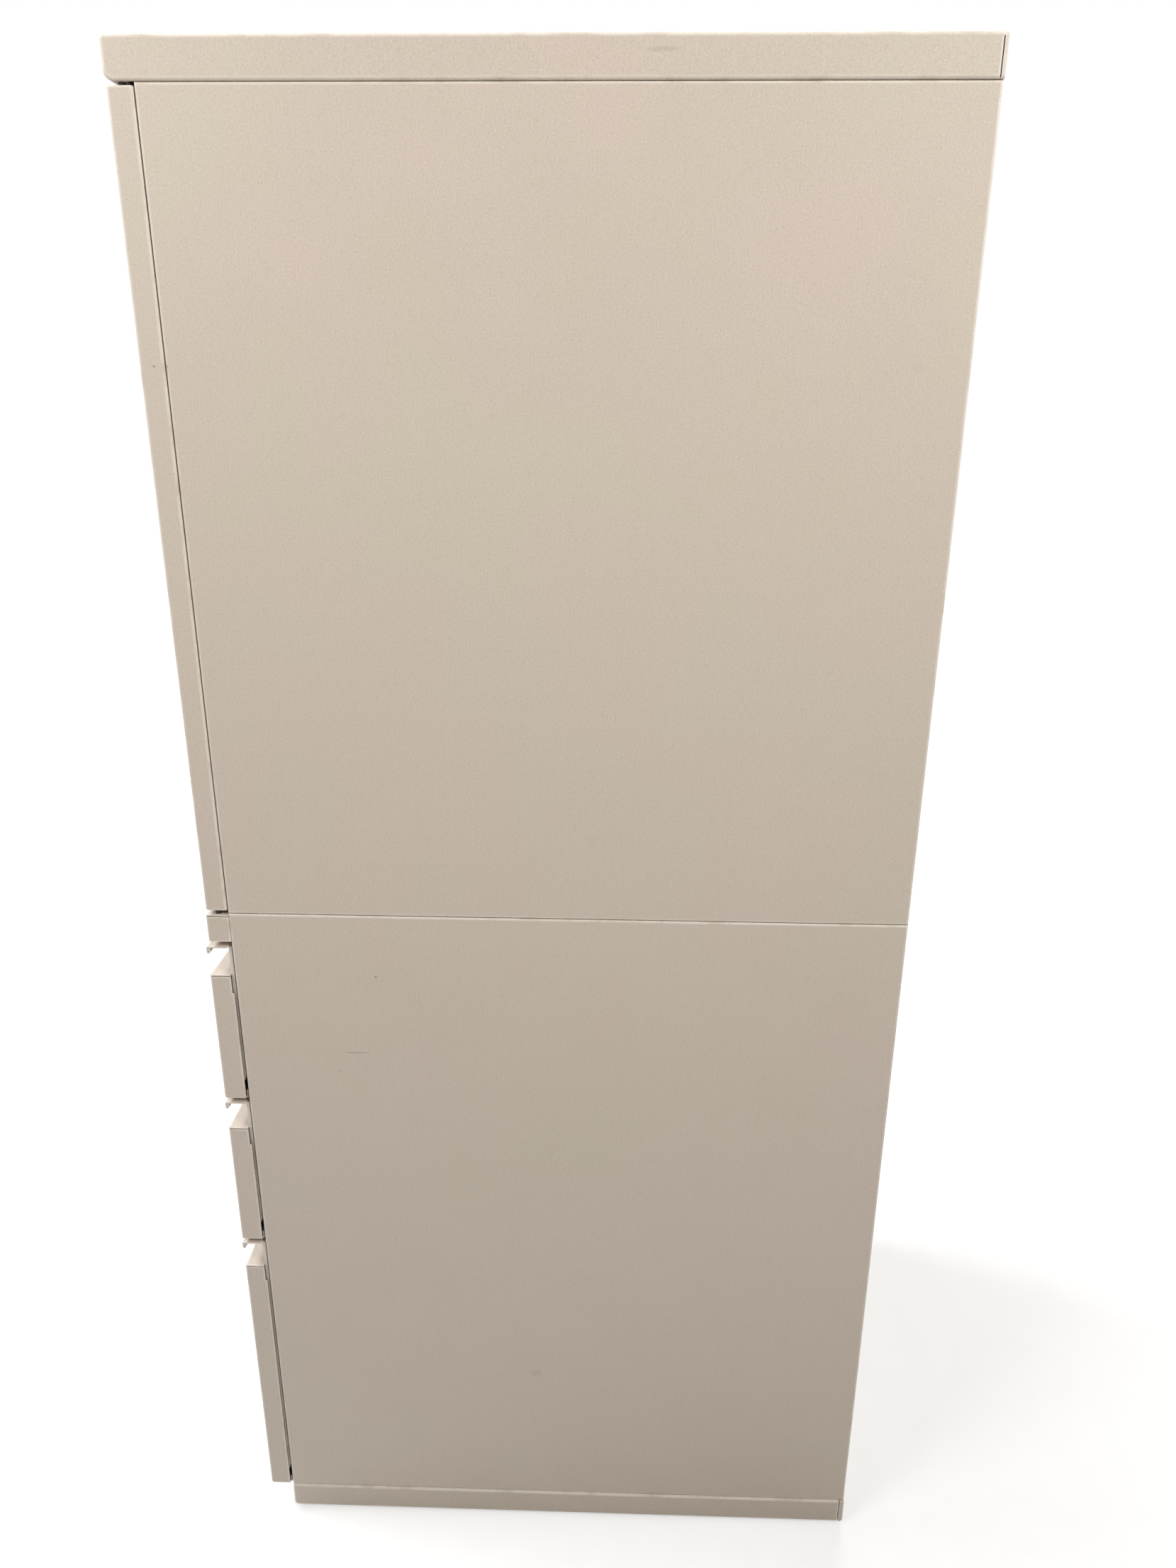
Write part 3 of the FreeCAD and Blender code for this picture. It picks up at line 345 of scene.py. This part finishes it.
# Door catch and the bushes of the door: black moulded nylon, with the fine spark texture of its
# mould, matt and slightly grey where it is rubbed. The texture is drawn at 0.9 mm so that it shows.
RUBBING_MM = 12
SPARK_MM = 0.9
nylon, tree, shader, place = new_material("black_moulded_nylon")
rubbing = add_node(
    tree, "ShaderNodeTexNoise", {}, {"Vector": place, "Scale": 1000 / RUBBING_MM, "Detail": 2.0}
)
spark = add_node(
    tree, "ShaderNodeTexNoise", {}, {"Vector": place, "Scale": 1000 / SPARK_MM, "Detail": 3.0}
)
colour = lay_tone(tree, linear("#1B1B1C"), rubbing.outputs["Fac"], 0.45, 0.7, "#343435", 0.6)
tree.links.new(colour, shader.inputs["Base Color"])
shader.inputs["IOR"].default_value = 1.53
roughness = add_node(
    tree,
    "ShaderNodeMapRange",
    {"interpolation_type": "SMOOTHSTEP"},
    {
        "Value": spark.outputs["Fac"],
        "From Min": 0.3,
        "From Max": 0.7,
        "To Min": 0.5,
        "To Max": 0.68,
    },
)
tree.links.new(roughness.outputs["Result"], shader.inputs["Roughness"])
texture = add_node(
    tree,
    "ShaderNodeBump",
    {},
    {"Strength": 0.3, "Distance": 0.0002, "Height": spark.outputs["Fac"]},
)
tree.links.new(texture.outputs["Normal"], shader.inputs["Normal"])
dress("black_plastic", nylon)

# Counterweight and hinge pins: steel in black primer or black oxide. It is rough, dull and blotchy,
# with a little brown where the coat is thin.
BLOTCH_MM = 6.0
primer, tree, shader, place = new_material("blackened_steel")
blotches = add_node(
    tree, "ShaderNodeTexNoise", {}, {"Vector": place, "Scale": 1000 / BLOTCH_MM, "Detail": 5.0}
)
colour = lay_tone(tree, linear("#2A2928"), blotches.outputs["Fac"], 0.5, 0.75, "#4A423B", 0.7)
tree.links.new(colour, shader.inputs["Base Color"])
roughness = add_node(
    tree,
    "ShaderNodeMapRange",
    {"interpolation_type": "SMOOTHSTEP"},
    {
        "Value": blotches.outputs["Fac"],
        "From Min": 0.3,
        "From Max": 0.7,
        "To Min": 0.55,
        "To Max": 0.8,
    },
)
tree.links.new(roughness.outputs["Result"], shader.inputs["Roughness"])
skin = add_node(
    tree,
    "ShaderNodeBump",
    {},
    {"Strength": 0.5, "Distance": 0.0006, "Height": blotches.outputs["Fac"]},
)
tree.links.new(skin.outputs["Normal"], shader.inputs["Normal"])
dress("dark_steel", primer)


# Rivets that join each drawer box to the inner members of its slides: flat steel heads, zinc
# plated, three along each wall inside the drawer. They are pressed and stand 0.8 mm proud.
def deselect():
    """Leaves edit mode and deselects every object."""
    if bpy.context.mode != "OBJECT":
        bpy.ops.object.mode_set(mode="OBJECT")
    bpy.ops.object.select_all(action="DESELECT")


def settle(piece, name, material, body):
    """Names a finished piece, puts its place in its mesh and lets it ride on a body."""
    deselect()
    piece.select_set(True)
    bpy.context.view_layer.objects.active = piece
    bpy.ops.object.transform_apply(location=True, rotation=True, scale=True)
    bpy.ops.object.shade_smooth_by_angle(angle=math.radians(35))
    piece.name = name
    piece.data.name = name
    piece.data.materials.clear()
    piece.data.materials.append(material)
    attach(piece, body)


def copies(model, places):
    """One piece made of the model repeated, each copy moved and turned by a matrix."""
    made = []
    for matrix in places:
        copy = model.copy()
        copy.data = model.data.copy()
        copy.data.transform(matrix)
        bpy.context.scene.collection.objects.link(copy)
        made.append(copy)
    bpy.data.objects.remove(model)
    deselect()
    for copy in made:
        copy.select_set(True)
    bpy.context.view_layer.objects.active = made[0]
    bpy.ops.object.join()
    return made[0]


def pressed_head(radius, height):
    """A low round head at the origin: its seat faces -Z, and its rim is rounded."""
    rim = height * 0.7
    deselect()
    bpy.ops.mesh.primitive_cylinder_add(
        vertices=24, radius=radius, depth=height, location=(0, 0, height / 2)
    )
    head = bpy.context.object
    bpy.ops.object.mode_set(mode="EDIT")
    bpy.ops.mesh.select_mode(type="EDGE")
    bpy.ops.mesh.select_all(action="DESELECT")
    bpy.ops.object.mode_set(mode="OBJECT")
    for edge in head.data.edges:
        ends = [head.data.vertices[i].co.z for i in edge.vertices]
        edge.select = min(ends) > 0
    bpy.ops.object.mode_set(mode="EDIT")
    bpy.ops.mesh.bevel(offset=rim, segments=3, profile=0.6)
    bpy.ops.object.mode_set(mode="OBJECT")
    deselect()
    head.select_set(True)
    bpy.ops.object.transform_apply(location=True, rotation=True, scale=True)
    return head


RIVET_RADIUS, RIVET_HEIGHT = 0.0035, 0.0008
RIVETS_ALONG_BOX = (0.08, 0.5, 0.92)
BOX_WALL = 0.001
for number in (1, 2, 3):
    low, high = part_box(f"drawer_{number}_box")
    slide_low, slide_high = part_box(f"drawer_{number}_slides_inner")
    level = (slide_low.z + slide_high.z) / 2
    places = []
    for hand in (-1, 1):
        inwards = Matrix.Rotation(-hand * math.pi / 2, 4, "Y")
        for share in RIVETS_ALONG_BOX:
            depth = low.y + (high.y - low.y) * share
            seat = Matrix.Translation((hand * (high.x - BOX_WALL), depth, level))
            places.append(seat @ inwards)
    rivets = copies(pressed_head(RIVET_RADIUS, RIVET_HEIGHT), places)
    settle(rivets, f"drawer_{number}_rivets", zinc, f"drawer_{number}")

# Balls of the telescopic slides: hardened steel, polished bright under a film of grease, in four
# rows on each side. They run in the gaps between the members and travel with the middle one.
FILM_MM = 3.0
balls_steel, tree, shader, place = new_material("polished_ball_steel")
film = add_node(
    tree, "ShaderNodeTexNoise", {}, {"Vector": place, "Scale": 1000 / FILM_MM, "Detail": 2.0}
)
colour = lay_tone(tree, linear("#C4C6C8"), film.outputs["Fac"], 0.4, 0.7, "#A9A294", 0.5)
tree.links.new(colour, shader.inputs["Base Color"])
shader.inputs["Metallic"].default_value = 1.0
roughness = add_node(
    tree,
    "ShaderNodeMapRange",
    {"interpolation_type": "SMOOTHSTEP"},
    {
        "Value": film.outputs["Fac"],
        "From Min": 0.3,
        "From Max": 0.7,
        "To Min": 0.10,
        "To Max": 0.22,
    },
)
tree.links.new(roughness.outputs["Result"], shader.inputs["Roughness"])
BALL_RADIUS = 0.0013
BALL_PITCH = 0.012
BALLS_IN_ROW = 12
FIRST_BALL = 0.03
# Each row's distance in from the outer face of the middle member, and out past its edge.
OUTER_ROW, INNER_ROW = (0.0019, 0.0014), (0.0063, -0.0026)
for number in (1, 2, 3):
    low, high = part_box(f"drawer_{number}_slides_middle")
    level = (low.z + high.z) / 2
    half_height = (high.z - low.z) / 2
    places = []
    for hand in (-1, 1):
        for inset, past_edge in (OUTER_ROW, INNER_ROW):
            for side in (-1, 1):
                height = level + side * (half_height + past_edge)
                for i in range(BALLS_IN_ROW):
                    depth = low.y + FIRST_BALL + i * BALL_PITCH
                    places.append(Matrix.Translation((hand * (high.x - inset), depth, height)))
    deselect()
    bpy.ops.mesh.primitive_ico_sphere_add(subdivisions=2, radius=BALL_RADIUS)
    balls = copies(bpy.context.object, places)
    settle(balls, f"slides_{number}_balls", balls_steel, f"slides_{number}")


# Floor: one pale matt sheet under the tower. To the camera it glows nearly white, and it keeps the
# tower's shadow; the light that it sends back to the tower is that of a plain pale floor.
def seen_as_white(tree):
    """1 where the camera looks, also in a mirror or through glass, and 0 for other light."""
    rays = add_node(tree, "ShaderNodeLightPath", {}, {}).outputs
    seen = rays["Is Camera Ray"]
    for kind in ("Is Glossy Ray", "Is Transmission Ray"):
        either = add_node(
            tree, "ShaderNodeMath", {"operation": "MAXIMUM"}, {0: seen, 1: rays[kind]}
        )
        seen = either.outputs["Value"]
    return seen


FLOOR_SIZE = 14.0
SPECKLE_MM = 30
deselect()
bpy.ops.mesh.primitive_plane_add(size=FLOOR_SIZE, location=(0, 0, 0))
floor = bpy.context.object
floor.name = "floor"
pale, tree, shader, place = new_material("pale_matt_floor")
tree.nodes.remove(shader)
speckle = add_node(
    tree, "ShaderNodeTexNoise", {}, {"Vector": place, "Scale": 1000 / SPECKLE_MM, "Detail": 2.0}
)
speckled = add_node(
    tree,
    "ShaderNodeMix",
    {"data_type": "RGBA"},
    {"Factor": speckle.outputs["Fac"], "A": linear("#CFCDCA"), "B": linear("#D6D5D3")},
)
matt = add_node(
    tree, "ShaderNodeBsdfDiffuse", {}, {"Color": speckled.outputs["Result"], "Roughness": 0.5}
)
away = add_node(tree, "ShaderNodeVectorMath", {"operation": "LENGTH"}, {0: place})
# The glow is weaker near the tower, which paints the floor there darker, so that its shadow shows
# there.
whiteness = add_node(
    tree,
    "ShaderNodeMapRange",
    {"interpolation_type": "SMOOTHSTEP"},
    {
        "Value": away.outputs["Value"],
        "From Min": 0.35,
        "From Max": 1.6,
        "To Min": 0.50,
        "To Max": 0.97,
    },
)
lift = add_node(
    tree,
    "ShaderNodeMath",
    {"operation": "MULTIPLY"},
    {0: seen_as_white(tree), 1: whiteness.outputs["Result"]},
)
glow = add_node(
    tree, "ShaderNodeEmission", {}, {"Color": (1, 1, 1, 1), "Strength": lift.outputs["Value"]}
)
lit_floor = add_node(
    tree, "ShaderNodeAddShader", {}, {0: matt.outputs["BSDF"], 1: glow.outputs["Emission"]}
)
tree.links.new(lit_floor.outputs["Shader"], tree.nodes["Material Output"].inputs["Surface"])
floor.data.materials.append(pale)


# Light: two soft lamps above the right side, whose falloff darkens it towards the plinth as in the
# photograph, one high over the front, which whitens the ledges under the pulls, one beyond the
# other side, and an even pale sky.
def soft_lamp(name, place, aim, size, spread, energy, tint):
    """A square lamp turned to its aim, with its spread in degrees and its energy in W."""
    data = bpy.data.lights.new(name, "AREA")
    data.shape = "SQUARE"
    data.size = size
    data.spread = math.radians(spread)
    data.energy = energy
    data.color = tint
    lamp = bpy.data.objects.new(name, data)
    bpy.context.scene.collection.objects.link(lamp)
    lamp.location = place
    lamp.rotation_euler = (Vector(aim) - lamp.location).to_track_quat("-Z", "Y").to_euler()


WARM, COOL = (1.0, 0.99, 0.975), (0.93, 1.0, 1.06)
SKY_LIGHT, SKY_SEEN = 0.19, 1.0
soft_lamp("front_side_lamp", (1.25, -1.35, 1.95), (0.2, -0.1, 1.35), 0.9, 110, 8.3, WARM)
soft_lamp("rear_side_lamp", (1.25, 1.45, 1.95), (0.2, 0.1, 1.35), 0.9, 110, 10.9, WARM)
soft_lamp("front_lamp", (-0.60, -2.80, 3.90), (0.0, -0.3, 0.6), 1.6, 150, 115, COOL)
soft_lamp("far_side_lamp", (-2.00, 0.70, 2.40), (-0.2, 0.0, 0.8), 1.2, 120, 15, WARM)

world = bpy.data.worlds.new("pale_sky")
bpy.context.scene.world = world
world.use_nodes = True
tree = world.node_tree
tree.nodes.clear()
shade = add_node(
    tree,
    "ShaderNodeMapRange",
    {},
    {"Value": seen_as_white(tree), "To Min": SKY_LIGHT, "To Max": SKY_SEEN},
)
sky = add_node(
    tree, "ShaderNodeBackground", {}, {"Color": (1, 1, 1, 1), "Strength": shade.outputs["Result"]}
)
add_node(tree, "ShaderNodeOutputWorld", {}, {"Surface": sky.outputs["Background"]})
